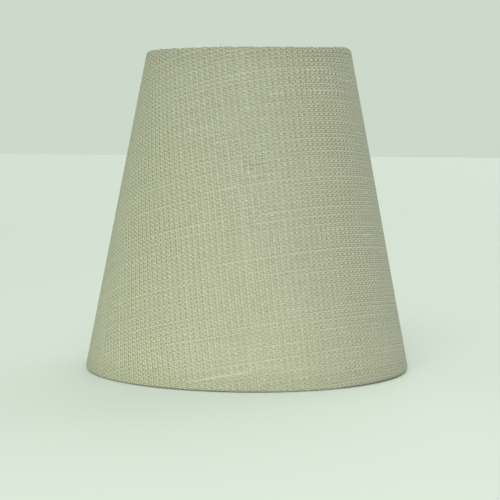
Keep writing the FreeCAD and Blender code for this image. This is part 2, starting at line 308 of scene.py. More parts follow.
# How light each set of threads is: its base, what its crown and its crossings over the other
# set add, and how much it darkens from its light flank to its dark one. All of it is painted
# light and shade of the weave's relief, lit from above and the left, darker in the gaps.
WEFT_LIGHT = {"base": 0.37, "crown": 0.23, "crossing": 0.055, "flank": 0.31}
WARP_LIGHT = {"base": 0.27, "crown": 0.18, "crossing": 0.07, "flank": 0.26}
SECOND_DARKENS = 0.07
# Painted shadow of each weft float on the warp just below it.
CROSSING_SHADOW = 0.08
MEAN_LIGHT = 0.48
TURNED_DARKENS = 0.065

# How much lighter and darker each unevenness makes the cloth.
FIBRE_LIGHT = 0.20
WEFT_TONE = 0.022
WARP_TONE = 0.015
REED_AND_FLANK_LIGHT = 0.16
CELL_LIGHT = 0.07
CLOUD_LIGHT = 0.05
MARK_AND_PAINTED_LIGHT = 0.10
SLUB_LIGHT = 0.08
REED_AND_FLANK_DRIFT = 0.035       # how fast the reed's line and the painted lit flank change over the panel

# Steps and starts that give every thread random numbers of its own.
WEFT_STEP = 0.917
WEFT_STARTS = (40.3, 41.217)
WARP_STEP = 0.731
ELSEWHERE = 50.0

# The cloth's darkest and lightest colour in each of its hues. The hues are one linen painted with
# the
# tint of the light: yellow on the left, grey on the right, middle in front; yellow and grey also
# make the dye's patches.
YELLOW_LINEN = ((0.135, 0.134, 0.069, 1), (0.546, 0.545, 0.402, 1))
GREY_LINEN = ((0.130, 0.126, 0.070, 1), (0.528, 0.514, 0.409, 1))
MIDDLE_LINEN = ((0.133, 0.131, 0.073, 1), (0.540, 0.535, 0.426, 1))
SEAM_GREY_SHARE = 0.5
PATCH_GREY_SHARE = 1.2
LINEN_ROUGHNESS = (0.98, 0.82)      # of its darkest and lightest places


class Weave:
    """Coarse plain-weave linen, drawn thread by thread in the cloth's own flat coordinates.

    The cloth attribute holds each point's place on the flat panel: x across the upright warp
    threads and y down the cone, across the weft.
    """

    def __init__(self):
        self.n = Nodes("linen")
        self.flat = self.n.attribute("cloth", "Vector")
        self.turned = self.n.attribute("turned")
        self.lay_threads()
        self.size_threads()
        self.cross_threads()

    def lay_threads(self):
        """Number the threads, which are unevenly spaced, and find the place within each."""
        n = self.n
        across, down, _ = n.split(self.flat)
        uneven_x = n.streaks(across, down, UNEVEN_WARP_RATES, salt=3.0, detail=0.0)
        uneven_y = n.streaks(across, down, UNEVEN_WEFT_RATES, salt=7.0, detail=0.0)
        self.across = n.plus(across, n.swayed(uneven_x, UNEVEN_WARP))
        self.down = n.plus(down, n.swayed(uneven_y, UNEVEN_WEFT))
        self.x = n.times(self.across, 1 / WARP_PITCH)
        self.y = n.times(self.down, 1 / WEFT_PITCH)
        self.warp_number = n.math("FLOOR", self.x)
        self.weft_number = n.math("FLOOR", self.y)
        self.from_warp = n.minus(n.math("FRACT", self.x), 0.5)
        self.from_weft = n.minus(n.math("FRACT", self.y), 0.5)
        crossing = n.plus(self.warp_number, self.weft_number)
        self.over = n.cosine(n.times(crossing, math.pi))
        self.second = n.cosine(n.times(self.warp_number, math.pi))

    def thickness(self, number, along, salt):
        """How a thread swells and thins along its length."""
        return self.n.streaks(number, along, THICKNESS_RATES, salt, detail=2.0, rough=0.6)

    def slub(self, number, along, salt):
        """1 on a thread's thickest stretches, its slubs."""
        lump = self.n.streaks(number, along, SLUB_RATES, salt, detail=1.0)
        return self.n.remap(lump, *SLUB_LEVELS)

    def section(self, distance, width):
        """The round of a thread's section: 1 on its crown and 0 at its edges."""
        n = self.n
        half_width = n.math("DIVIDE", n.times(distance, 2.0), width)
        return n.larger(n.minus(1.0, n.math("POWER", half_width, 2.0)), -1.0)

    def size_threads(self):
        """Every second warp thread is a little thinner than the one beside it."""
        n = self.n
        self.slub_warp = self.slub(self.warp_number, self.down, salt=21.0)
        self.slub_weft = self.slub(self.weft_number, self.across, salt=35.0)
        thick_warp = self.thickness(self.warp_number, self.down, salt=1.0)
        thick_weft = self.thickness(self.weft_number, self.across, salt=9.0)
        warp_width = n.plus(n.remap(thick_warp, *NOISE_RANGE, *WARP_WIDTHS),
                            n.times(self.slub_warp, SLUB_WIDENS))
        warp_width = n.plus(warp_width, n.times(self.second, SECOND_WIDENS))
        weft_width = n.plus(n.remap(thick_weft, *NOISE_RANGE, *WEFT_WIDTHS),
                            n.times(self.slub_weft, SLUB_WIDENS))
        self.round_warp = self.section(self.from_warp, warp_width)
        self.round_weft = self.section(self.from_weft, weft_width)

    def cross_threads(self):
        """Find the cloth's height and which thread is on top."""
        n = self.n
        self.swing_warp = n.times(self.over, n.cosine(n.times(self.from_weft, math.pi)))
        under = n.times(self.over, -1.0)
        self.swing_weft = n.times(under, n.cosine(n.times(self.from_warp, math.pi)))
        warp = n.plus(n.times(self.swing_warp, WARP_SWING), n.times(self.round_warp, WARP_ROUND))
        weft = n.plus(n.times(self.swing_weft, WEFT_SWING),
                      n.linear(self.round_weft, WEFT_ROUND, WEFT_RISE))
        self.height = n.larger(n.larger(warp, weft), DEEPEST)
        self.on_top = n.math("GREATER_THAN", warp, weft)
        fibre_warp = n.streaks(self.across, self.down, WARP_FIBRE_RATES, salt=2.0)
        fibre_weft = n.streaks(self.across, self.down, WEFT_FIBRE_RATES, salt=4.0)
        self.fibre = n.mix(self.on_top, fibre_weft, fibre_warp)

    def between(self, left, right, at_left=0.0, at_right=1.0):
        """A value that changes evenly from one place across the panel to another."""
        return self.n.remap(self.across, left, right, at_left, at_right)

    def downwards(self, top, bottom, at_top, at_bottom):
        """A value that changes evenly from one place down the panel to another."""
        return self.n.remap(self.down, top, bottom, at_top, at_bottom)

    def beside(self, middle, near, far, at_near=0.0, at_far=1.0):
        """A value that changes with the distance to either side of a line down the panel."""
        distance = self.n.math("ABSOLUTE", self.n.minus(self.across, middle))
        return self.n.remap(distance, near, far, at_near, at_far)

    def thread_light(self, crown, crossing, flank, light):
        """How light one set of threads is from its crown to its flanks."""
        n = self.n
        lit = n.plus(n.linear(crown, light["crown"], light["base"]),
                     n.times(crossing, light["crossing"]))
        return n.minus(lit, n.times(flank, light["flank"]))

    def threads_light(self):
        """Threads are lightest on the crown, the weft's upper flank and the warp's left one:
        painted light and shade, the flanks lit from above and the left, with a painted shadow on
        the warp just below each weft float.

        Every second warp thread is darker.
        """
        n = self.n
        weft = self.thread_light(self.round_weft, self.swing_weft, self.from_weft, WEFT_LIGHT)
        warp = self.thread_light(self.round_warp, self.swing_warp, self.from_warp, WARP_LIGHT)
        warp = n.plus(warp, n.times(self.second, SECOND_DARKENS))
        warp = n.plus(warp, n.times(n.times(self.from_weft, self.over), CROSSING_SHADOW))
        return n.minus(n.mix(self.on_top, weft, warp), MEAN_LIGHT)

    def line(self, step, phase, strength):
        """Light lines, one for each turn of a step."""
        return self.n.times(self.n.cosine(self.n.plus(step, phase)), strength)

    def painted_relief_lines(self, light):
        """Faint diagonals from the yarn's twist, and a light line along each thread: painted light
        and shade of the relief, changing across the panel as the cone turns to the light.

        The line goes from one flank of its threads to the other across the panel.
        """
        n = self.n
        falling = n.times(n.plus(self.x, self.y), math.pi)
        rising = n.times(n.minus(self.y, self.x), math.pi)
        upright = n.times(self.x, TURN)
        level = n.times(self.y, TURN)
        aside = self.beside(-45, 5, 40)
        level_phase = n.linear(aside, factor=-1.52, base=1.31)
        level_strength = n.plus(n.linear(aside, factor=0.050, base=0.043),
                                self.between(-112, -80, at_left=0.065, at_right=0.0))
        wander = n.linear(self.across, factor=-0.0461, base=-5.2)
        wander_strength = self.between(-80, -35, at_left=0.082, at_right=0.022)
        upright_strength = self.between(-45, -10, at_left=0.058, at_right=0.096)
        rising_strength = self.between(-80, -10, at_left=0.025, at_right=-0.006)
        falling_strength = self.beside(-48, 20, 65, at_near=-0.010, at_far=0.037)
        for term in (
            self.line(falling, phase=0.62, strength=falling_strength),
            self.line(rising, phase=0.99, strength=rising_strength),
            self.line(level, phase=level_phase, strength=level_strength),
            self.line(upright, phase=0.95, strength=upright_strength),
            self.line(upright, phase=wander, strength=wander_strength),
        ):
            light = n.plus(light, term)
        return light

    def contrast(self, light, aside):
        """The weave's painted light and shade is stronger towards the panel's sides, where light
        grazes the cloth, towards its top, and a little more to the left.

        Over the rims and on the turned-in hem the cloth is darker, with more contrast
        at the top and less at the bottom.
        """
        n = self.n
        pull = n.linear(aside, factor=0.58, base=0.90)
        pull = n.times(pull, self.downwards(360, 520, at_top=1.03, at_bottom=0.67))
        pull = n.times(pull, self.between(-110, 30, at_left=1.09, at_right=0.94))
        rolled = n.times(self.turned, self.downwards(400, 480, at_top=0.22, at_bottom=-0.15))
        light = n.times(light, n.linear(pull, rolled, pull))
        return n.minus(n.plus(light, MEAN_LIGHT), n.times(self.turned, TURNED_DARKENS))

    def reed_and_lit_flank(self):
        """The reed's faint line along each warp thread, which comes and goes, and painted light on
        each warp's lit flank, which wanders from one side to the other.
        """
        n = self.n
        turn = n.times(self.x, TURN)
        drift = n.minus(n.noise(self.flat, scale=REED_AND_FLANK_DRIFT, detail=0.0), 0.5)
        elsewhere = n.vector(self.across, self.down, ELSEWHERE)
        other_drift = n.minus(n.noise(elsewhere, scale=REED_AND_FLANK_DRIFT, detail=0.0), 0.5)
        reed_and_lit_flank = n.plus(n.times(n.cosine(turn), drift), n.times(n.math("SINE", turn), other_drift))
        return n.times(reed_and_lit_flank, REED_AND_FLANK_LIGHT)

    def thread_tones(self):
        """Each thread has a tone of its own."""
        n = self.n
        weft = n.times(self.weft_number, WEFT_STEP)
        weft_tone = n.minus(*(n.random(n.plus(weft, start)) for start in WEFT_STARTS))
        warp_tone = n.random(n.times(self.warp_number, WARP_STEP))
        tone = n.plus(n.times(weft_tone, WEFT_TONE), n.times(warp_tone, WARP_TONE))
        return n.minus(tone, WARP_TONE / 2)

    def unevenness(self, light, aside):
        """Fibres, nap and fuzz, thread and cell tones, clouds, marks and slubs, with painted light
        and shade in the nap, fuzz and tones.
        """
        n = self.n
        nap = n.noise(self.flat, scale=1.0, detail=0.0)
        fuzz = n.noise(self.flat, scale=2.6, detail=2.0, rough=0.7)
        cell = n.random_cell(self.warp_number, self.weft_number)
        cloud = n.noise(self.flat, scale=1 / 26, detail=3.0)
        for term in (
            n.swayed(self.fibre, FIBRE_LIGHT),
            # Nap and fuzz show more towards the sides: painted light and shade of the relief,
            # stronger where light grazes the cloth.
            n.swayed(nap, n.linear(aside, factor=0.10, base=0.22)),
            n.swayed(fuzz, n.linear(aside, factor=0.25, base=0.92)),
            self.reed_and_lit_flank(),
            self.thread_tones(),
            n.swayed(cell, CELL_LIGHT),
            n.swayed(cloud, CLOUD_LIGHT),
            # The tone attribute: marks, and painted light and shade on the rims and the knot.
            n.times(n.attribute("tone"), MARK_AND_PAINTED_LIGHT),
        ):
            light = n.plus(light, term)
        any_slub = n.mix(self.on_top, self.slub_weft, self.slub_warp)
        return n.math("ADD", light, n.times(any_slub, SLUB_LIGHT), clamp=True)

    def colour(self, light, aside):
        """The cloth is painted yellower on the left, greyer on the right and a little bluer in the
        front, the tint of the light on each side, and the dye is a little greyer in small patches.

        The two ends of the panel that meet at the seam are alike.
        """
        n = self.n
        patch = n.minus(n.noise(self.flat, scale=0.22, detail=2.0), 0.5)
        near_seam = self.beside(-55, 110, 200)
        grey_share = n.mix(near_seam, self.between(-130, 20), SEAM_GREY_SHARE)
        grey_share = n.plus(grey_share, n.times(patch, PATCH_GREY_SHARE))
        yellow = n.tint(light, *YELLOW_LINEN)
        grey = n.tint(light, *GREY_LINEN)
        middle = n.tint(light, *MIDDLE_LINEN)
        return n.tint(aside, middle, n.tint(grey_share, yellow, grey))

    def material(self):
        n = self.n
        aside = self.beside(-42, 10, 80)
        light = self.painted_relief_lines(self.threads_light())
        light = self.contrast(light, aside)
        light = self.unevenness(light, aside)
        rough = n.remap(light, 0.0, 1.0, *LINEN_ROUGHNESS)
        relief = n.plus(self.height, n.swayed(self.fibre, FIBRE_RELIEF))
        return n.finish(self.colour(light, aside), rough, n.bump(relief, MM, RELIEF_STRENGTH),
                        Sheen_Weight=0.12, Sheen_Roughness=0.6, Specular_IOR_Level=0.25)


# ---------------------------------------------------------------- the other materials
CLOUD_SHADE = 0.93          # of the colour, in plastic's darker patches
SCRATCH_RATES = (300.0, 4000.0, 900.0)


def satin_plastic(name, colour, roughness, grain=0.4, depth=0.03):
    """Moulded or rolled plastic: faint cloudiness in colour and gloss, and a fine grain."""
    n = Nodes(name)
    place = n.own_place()
    cloud = n.noise(place, scale=38.0, detail=3.0)
    fine = n.noise(place, scale=1 / (grain * MM))
    shade = tuple(CLOUD_SHADE * c for c in colour) + (1,)
    tone = n.tint(n.remap(cloud, *NOISE_RANGE), shade, tuple(colour) + (1,))
    rough = n.remap(cloud, *NOISE_RANGE, roughness - 0.05, roughness + 0.06)
    return n.finish(tone, rough, n.bump(fine, depth * MM), Specular_IOR_Level=0.45)


def powder_coat():
    """White powder coating: orange-peel relief, a little dust in the hollows."""
    n = Nodes("powder_coat")
    white, dusty = (0.83, 0.83, 0.81, 1), (0.70, 0.69, 0.66, 1)
    place = n.own_place()
    peel = n.noise(place, scale=900.0)
    dust = n.noise(place, scale=120.0, detail=4.0, rough=0.6)
    tone = n.tint(n.remap(dust, 0.42, 0.72), white, dusty)
    rough = n.remap(dust, *NOISE_RANGE, 0.30, 0.46)
    return n.finish(tone, rough, n.bump(peel, 0.05 * MM), Specular_IOR_Level=0.5)


def plated_steel():
    """Dull zinc plating with fine scratches."""
    n = Nodes("plated_steel")
    bright, dull = (0.62, 0.62, 0.60, 1), (0.46, 0.46, 0.45, 1)
    place = n.own_place()
    x, y, z = n.split(place)
    stretched = n.vector(*(n.times(way, rate) for way, rate in zip((x, y, z), SCRATCH_RATES)))
    scratch = n.noise(stretched, detail=3.0)
    bloom = n.noise(place, scale=260.0, detail=3.0)
    tone = n.tint(n.remap(bloom, 0.35, 0.7), bright, dull)
    rough = n.remap(scratch, *NOISE_RANGE, 0.26, 0.44)
    return n.finish(tone, rough, n.bump(scratch, 0.02 * MM), Metallic=1.0)


MATERIALS = {
    "linen": Weave().material(),
    "liner": satin_plastic("liner", (0.86, 0.86, 0.83), 0.42, grain=0.9, depth=0.02),
    "tape": satin_plastic("tape", (0.80, 0.78, 0.70), 0.50),
    "wire": powder_coat(),
    "rivet": plated_steel(),
    "washer": satin_plastic("washer", (0.78, 0.77, 0.71), 0.40),
    "reducer": satin_plastic("reducer", (0.87, 0.87, 0.85), 0.38, grain=0.3),
}
MATERIALS["yoke"] = MATERIALS["wire"]


# ---------------------------------------------------------------- the cloth panel
HEM = 9.0 * MM
HEM_BEND = 4.5 * MM
BEND_FOOT = 0.2 * MM
HEM_EDGE = [(0.05, 0.10), (0.3, 0.12)]   # in from the liner's face and up past the hem, mm
HEM_STEPS = (0.2, 1.2, 2.4, 3.5)         # down from the hem's raw edge, mm
BEND_STEPS = 5
ROLL_ANGLES = np.radians(np.arange(180, 361, 15))
ROLL_EASE = 0.4 * math.pi
ROW_PITCH = 1.18 * MM
COLUMN_COUNT = 430
FOLD = 0.5 * MM
FOLD_TURNS = np.radians([150, 110, 75, 45, 20])
FLOOR_GAP = 0.02 * MM
INNER_ROLL = LOW.wire + CLOTH
TIP = (LOW.radius + ROLL * math.cos(TILT)) / math.sin(TILT)


def rim_section():
    """Half the cloth's section at a rim: from the raw edge of its hem round to the wall.

    Pairs of (offset, along), along being towards the wall's middle from the wire's level.
    """
    edge = [(LINER_FACE - inward * MM, HEM + up * MM) for inward, up in HEM_EDGE]
    flat = [(HEM_FACE, HEM - step * MM) for step in HEM_STEPS]
    bend = []
    for step in np.arange(BEND_STEPS) / BEND_STEPS:
        offset = HEM_FACE + (-INNER_ROLL - HEM_FACE) * smooth(step)
        bend.append((offset, HEM_BEND + (BEND_FOOT - HEM_BEND) * step))
    roll = []
    for angle in ROLL_ANGLES:
        radius = INNER_ROLL + (ROLL - INNER_ROLL) * smooth((angle - math.pi) / ROLL_EASE)
        roll.append((radius * math.cos(angle), radius * math.sin(angle)))
    return np.array(edge + flat + bend + roll)


def cloth_section():
    """The whole section, bottom hem to top hem, and each row's distance from the cone's tip."""
    low = rim_section()
    high = rim_section()[::-1] * (1, -1) + (0, WALL)
    count = round(WALL / ROW_PITCH)
    wall = np.column_stack([np.full(count - 1, ROLL), np.linspace(0, WALL, count + 1)[1:-1]])
    section = np.vstack([low, wall, high])
    steps = np.hypot(*np.diff(section, axis=0).T)
    path = np.concatenate([[0], np.cumsum(steps)])
    path -= path[len(low) - 1]
    return section, TIP - path


def section_normals(section):
    """Unit normals on the cloth's visible side."""
    slope = np.gradient(section, axis=0)
    normal = np.column_stack([slope[:, 1], -slope[:, 0]])
    return normal / np.linalg.norm(normal, axis=1, keepdims=True)


# Slubs thick enough to stand up from the cloth: the ends along the thread, the thread's place
# across the others and its height, in millimetres of the flat panel.
WEFT_SLUBS = [
    (-14, 19, 346.0, 0.22),
    (0, 19, 351.0, 0.20),
    (-15, 34, 358.4, 0.30),
    (-29, -17, 358.6, 0.32),
    (32, 48, 335.2, 0.22),
    (20, 42, 351.2, 0.20),
    (-92, -60, 370.9, 0.24),
    (-94, -52, 513.9, 0.16),
]
SLUB_STEP = 0.8
SLUB_HALF_WIDTH = 0.62
SLUB_SIDES = np.array([-1, -0.6, 0, 0.6, 1])[:, None]
SLUB_SUNK = 0.04
SLUB_THREAD = 0.3        # the part of a pitch that a slub's own shading covers to each side
SLUB_END_WIDTH = 0.3     # of its full width
SLUB_END_TONE = 0.2      # of its full tone

# Slubs at the right and back: how many, their bearings in degrees from the front, their lengths
# and heights, and how far they stay from the rims.
BACK_SLUBS = 16
BACK_BEARINGS = (70, 200)
BACK_LENGTHS = (6, 18)
BACK_HEIGHTS = (0.12, 0.22)
BACK_CLEAR = 20

# Warp threads a little lighter than the rest: place across, top, bottom and strength.
LIGHT_WARPS = [
    (-160, 440, 500, 0.6),
    (-139, 430, 505, 0.6),
    (-98, 350, 420, 0.5),
    (-42.5, 333, 370, 0.6),
    (-50.5, 405, 480, 0.5),
    (62, 380, 470, 0.4),
]
LIGHT_WARP_WIDTH = 0.9
LIGHT_WARP_FADE = 8

# A dark mark and a light fleck: place across and down, size and tone.
SPOTS = [
    (-135.8, 379.7, 1.3, -1.2),
    (-41.7, 331.9, 0.9, 1.6),
]

# A knotted end in one warp thread, on a patch of the panel: left, right, top and bottom. Each
# part is a spot: its place across and down, its reach both ways, its height and its tone, which is
# painted light on the lumps and painted shade in the pits. The patch stands proud of the cloth's
# face, and its edge is sunk below it.
KNOT_AREA = (-50.0, -34.5, 393.0, 407.5)
KNOT_STEP = 0.5
KNOT_FADE = 1.25
KNOT_DEEPEST = -0.15
KNOT_PROUD = 0.22
KNOT_SUNK = 0.05
KNOT_PARTS = [
    (-44.8, 398.7, 1.1, 0.7, 0.30, 0.6),
    (-44.9, 401.4, 0.6, 0.6, 0.35, 3.0),
    (-47.9, 398.6, 0.5, 3.4, 0.20, 1.4),
    (-47.0, 398.8, 0.4, 3.0, -0.10, -1.2),
    (-46.0, 395.2, 0.6, 0.5, -0.15, -2.4),
    (-44.2, 397.0, 1.0, 0.6, -0.20, -2.4),
    (-46.5, 397.6, 0.5, 0.8, -0.15, -1.6),
    (-41.5, 398.1, 0.9, 0.5, -0.15, -2.0),
    (-38.2, 397.9, 0.8, 0.5, -0.20, -2.8),
    (-44.1, 400.3, 0.7, 0.5, -0.20, -2.6),
    (-42.5, 399.5, 0.8, 0.7, -0.15, -2.0),
    (-46.2, 399.4, 0.6, 0.6, -0.10, -1.4),
    (-41.7, 404.6, 2.4, 0.6, 0.15, 1.3),
    (-38.5, 405.6, 1.9, 0.4, -0.05, -1.5),
]

# A fibre end that stands up from the top rim, at a bearing in degrees from the front.
FIBRE_ROWS = 6
FIBRE_COLUMNS = 7
FIBRE_BEARING = -15.6
FIBRE_LENGTH = 2.6 * MM
FIBRE_RADIUS = 0.16 * MM
FIBRE_THINS = 0.6
FIBRE_LEAN = 0.15 * MM
FIBRE_SUNK = 1.0 * MM
FIBRE_OUT = 0.2 * MM
FIBRE_TONE = -1.6

# Slow unevenness of a hand-rolled panel: waves round it, start, twist up the wall and share.
WAVE_HEIGHT = 0.10 * MM
WAVES = [(3, 0.6, 9, 1.0), (5, 2.1, -14, 0.8), (8, 4.0, 31, 0.6)]

# Where the turned rims stand off their rings: bearing and width in degrees, and height in mm.
TOP_SWELLS = [(75, 28, 2.5), (-30, 35, -0.85), (190, 35, 0.8)]
BOTTOM_SWELLS = [(68, 28, 0.5), (-12, 26, 0.4), (150, 30, 0.3)]
RIM_RIPPLES = [(31, 0, 0.12), (53, 1, 0.10)]
RISE_REACH = 14 * MM
HEM_REACH = 2 * MM
BOTTOM_RIPPLE = 0.5

# The threads' slow wander over the panel: amount, millimetres across and down for each radian,
# and start.
WANDER_ACROSS = [(0.25, 60, 17, 0), (0.25, 13, math.inf, 1)]
WANDER_DOWN = [(0.3, 21, math.inf, 2), (0.2, 41, 13, 4)]


def waves(angle, along):
    """How far the panel stands off its cone, from its slow unevenness."""
    total = sum(share * np.sin(count * angle + start + twist * along)
                for count, start, twist, share in WAVES)
    return WAVE_HEIGHT * total


def swells(angle, rows):
    """Smooth swellings, each at a bearing from the front."""
    total = 0
    for centre, width, height in rows:
        bearing = (np.degrees(angle) + 90 - centre + 180) % 360 - 180
        total = total + height * np.exp(-(bearing / width) ** 2)
    return total


def rim_rise(offset, along, angle):
    """How far the turned rims stand off their rings. They are rolled by hand, not to a line."""
    ripple = sum(height * np.sin(count * angle + start) for count, start, height in RIM_RIPPLES)
    top = swells(angle, TOP_SWELLS) + ripple
    bottom = swells(angle, BOTTOM_SWELLS) + BOTTOM_RIPPLE * abs(ripple)
    turned_in = offset < 0
    reach = np.where(turned_in, HEM_REACH, RISE_REACH)
    start = np.where(turned_in, 0.0, 1.0)
    near_top = smooth((along - WALL) / reach + start)
    near_bottom = smooth(start - along / reach)
    return MM * (near_top * top + near_bottom * bottom)


def on_wall(offset, along, angle):
    """A point of the cloth, with the rims' rise and nothing below the floor."""
    points = on_cone(offset, along + rim_rise(offset, along, angle), angle)
    points[..., 2] = np.maximum(points[..., 2], COVER_LOW[2] + FLOOR_GAP)
    return points


def wander(across, down, rows):
    """How far the threads at a place lie from where an even weave would have them."""
    return sum(amount * np.sin(across / wide + down / tall + start)
               for amount, wide, tall, start in rows)


def flat_point(across, down):
    """A place on the flat panel as a point."""
    across, down = np.broadcast_arrays(across, down)
    return np.stack([across, down, np.zeros(across.shape)], axis=-1)


def cloth_place(from_tip, angle):
    """Where a point lies on the cloth, in millimetres across its warp and down its weft."""
    grain = (angle - GRAIN) * math.sin(TILT)
    across = from_tip * np.sin(grain) / MM
    down = from_tip * np.cos(grain) / MM
    across = across + down * WARP_SKEW
    across = across + wander(across, down, WANDER_ACROSS)
    down = down + wander(across, down, WANDER_DOWN)
    return flat_point(across, down)


def on_cloth(across, down, height):
    """The point a height above the cloth's face at a place on the flat panel."""
    straight = across - down * WARP_SKEW
    from_tip = np.hypot(straight, down) * MM
    angle = GRAIN + np.arctan2(straight, down) / math.sin(TILT)
    along = TIP - from_tip
    offset = ROLL + waves(angle, along) + height * MM
    return on_wall(offset, along, angle)


def spot(across, down, middle, level, wide, tall):
    """1 at a place on the flat panel, fading out around it."""
    return np.exp(-((across - middle) / wide) ** 2 - ((down - level) / tall) ** 2)


def tone_field(place):
    """Where the cloth is lighter or darker by more than its weave: light warps and marks."""
    across, down = place[..., 0], place[..., 1]
    tone = np.zeros(across.shape)
    for middle, top, bottom, strength in LIGHT_WARPS:
        inside = smooth((down - top) / LIGHT_WARP_FADE) * smooth((bottom - down) / LIGHT_WARP_FADE)
        tone += strength * inside * np.exp(-((across - middle) / LIGHT_WARP_WIDTH) ** 2)
    for middle, level, size, strength in SPOTS:
        tone += strength * spot(across, down, middle, level, size, size)
    return tone


TURNED_AT_TOP = 0.8
TURNED_START = 1.1
TURNED_TOP_REACH = 9 * MM
TURNED_BOTTOM_REACH = 11 * MM
# Painted shade on the upper roll's crest and painted light on the lower roll's foot.
CREST_PAINTED_SHADE = -0.8
FOOT_PAINTED_LIGHT = 1.4


def turned_weight(offset, along):
    """1 on the turned-in hem, and high where the cloth turns over a ring.

    It fades out up the wall and at the lower roll's foot.
    """
    near_top = TURNED_AT_TOP * smooth((along - WALL) / TURNED_TOP_REACH + TURNED_START)
    near_bottom = smooth(TURNED_START - along / TURNED_BOTTOM_REACH) * smooth(1 + along / ROLL)
    return np.maximum(np.maximum(near_top, near_bottom), (offset < 0) * 1.0)


def rim_painted_light(offset, along):
    """The upper roll's crest is painted a little darker than the wall, as shade, and the lower
    one's foot lighter, as painted light.
    """
    crest = smooth((along - WALL) / ROLL)
    foot = smooth(-along / ROLL)
    return np.where(offset < 0, 0.0, FOOT_PAINTED_LIGHT * foot + CREST_PAINTED_SHADE * crest)


class Fabric:
    """The cloth's points and faces. Each point has its flat place, tone and turned weight."""

    def __init__(self):
        self.points, self.faces, self.places, self.tones, self.turned = [], [], [], [], []
        self.count = 0

    def add(self, points, places, tones, turned=0.0):
        rows, columns = points.shape[:2]
        self.faces.append(grid_faces(rows, columns, self.count))
        self.points.append(points.reshape(-1, 3))
        self.places.append(places.reshape(-1, 3))
        self.tones.append(np.broadcast_to(tones, (rows, columns)).ravel())
        self.turned.append(np.broadcast_to(turned, (rows, columns)).ravel())
        self.count += rows * columns

    def piece(self, name):
        cloth = new_mesh(name, np.concatenate(self.points), np.concatenate(self.faces),
                         "shade", MATERIALS["linen"])
        add_attribute(cloth, "cloth", "FLOAT_VECTOR", np.concatenate(self.places))
        add_attribute(cloth, "tone", "FLOAT", np.concatenate(self.tones))
        add_attribute(cloth, "turned", "FLOAT", np.concatenate(self.turned))
        return cloth


def add_panel(fabric):
    """The panel: a folded edge at the seam, then once round the cone and under the lap."""
    section, from_tip = cloth_section()
    normals = section_normals(section)
    angles = np.linspace(PANEL_START, PANEL_END, COLUMN_COUNT)
    fold_angles = PANEL_START - FOLD * np.sin(FOLD_TURNS) / LOW.radius
    fold_lift = LAP_RISE - FOLD * (1 - np.cos(FOLD_TURNS))
    lift = np.concatenate([fold_lift, lap_lift(angles)])[None, :]
    angles = np.concatenate([fold_angles, angles])[None, :]

    places = cloth_place(from_tip[:, None], angles)
    offset, along = section[:, :1], section[:, 1:]
    push = lift + waves(angles, along)
    points = on_wall(offset + push * normals[:, :1], along + push * normals[:, 1:], angles)
    # The tones carry the cloth's marks and the rims' painted light and shade.
    tones = tone_field(places) + rim_painted_light(offset, along)
    fabric.add(points, places, tones, turned_weight(offset, along))


def add_slub(fabric, start, end, thread, height):
    """A thick stretch of one weft thread, a low ridge that thins away at both ends."""
    across = np.arange(start, end, SLUB_STEP)[None, :]
    taper = np.sin(np.linspace(0, math.pi, across.size))[None, :] ** 0.5
    width = SLUB_END_WIDTH + (1 - SLUB_END_WIDTH) * taper
    tone = SLUB_END_TONE + (1 - SLUB_END_TONE) * taper
    down = thread + SLUB_HALF_WIDTH * SLUB_SIDES * width
    lift = height * taper * (1 - SLUB_SIDES ** 2) - SLUB_SUNK
    row = (math.floor(thread / WEFT_PITCH) + 0.5 + SLUB_THREAD * SLUB_SIDES) * WEFT_PITCH
    fabric.add(on_cloth(across, down, lift), flat_point(across, row), tone)


def add_back_slubs(fabric):
    """Slubs at the right and back, at random."""
    chance = np.random.default_rng(SEED)
    longest, shortest = TIP / MM - BACK_CLEAR, (TIP - WALL) / MM + BACK_CLEAR
    for bearing in chance.uniform(*BACK_BEARINGS, BACK_SLUBS):
        grain = (angle_at(bearing) - GRAIN) * math.sin(TILT)
        from_tip = chance.uniform(shortest, longest)
        down, across = from_tip * math.cos(grain), from_tip * math.sin(grain)
        length = chance.uniform(*BACK_LENGTHS)
        add_slub(fabric, across - length, across, down, chance.uniform(*BACK_HEIGHTS))


def add_knot(fabric):
    """The knotted end: a fine patch of the cloth's face with lumps and pits, painted lighter on
    the lumps and darker in the pits as their light and shade.
    """
    left, right, top, bottom = KNOT_AREA
    across = np.arange(left, right, KNOT_STEP)[None, :]
    down = np.arange(top, bottom, KNOT_STEP)[:, None]
    inside = smooth((across - left) / KNOT_FADE) * smooth((across.max() - across) / KNOT_FADE)
    inside = inside * smooth((down - top) / KNOT_FADE) * smooth((down.max() - down) / KNOT_FADE)
    lift, tone = 0 * inside, 0 * inside
    for middle, level, wide, tall, height, strength in KNOT_PARTS:
        part = spot(across, down, middle, level, wide, tall)
        lift = lift + height * part
        tone = tone + strength * part
    lift = (np.maximum(lift, KNOT_DEEPEST) + KNOT_PROUD) * inside - KNOT_SUNK
    fabric.add(on_cloth(across, down, lift), flat_point(across, down), tone * inside)


def add_stray_fibre(fabric):
    """The fibre end: a thin tapered tube, its foot inside the upper roll."""
    up = np.linspace(0, 1, FIBRE_ROWS)[:, None]
    turn = np.linspace(0, TURN, FIBRE_COLUMNS)[None, :]
    thick = FIBRE_RADIUS * (1 - FIBRE_THINS * up)
    foot = on_cone(FIBRE_OUT, WALL + ROLL - FIBRE_SUNK, angle_at(FIBRE_BEARING))
    x = foot[0] + thick * np.cos(turn) + FIBRE_LEAN * up ** 2
    y = foot[1] + thick * np.sin(turn)
    z = foot[2] + FIBRE_LENGTH * up + 0 * turn
    points = np.stack([x, y, z], axis=-1)
    fabric.add(points, np.zeros(points.shape), FIBRE_TONE)


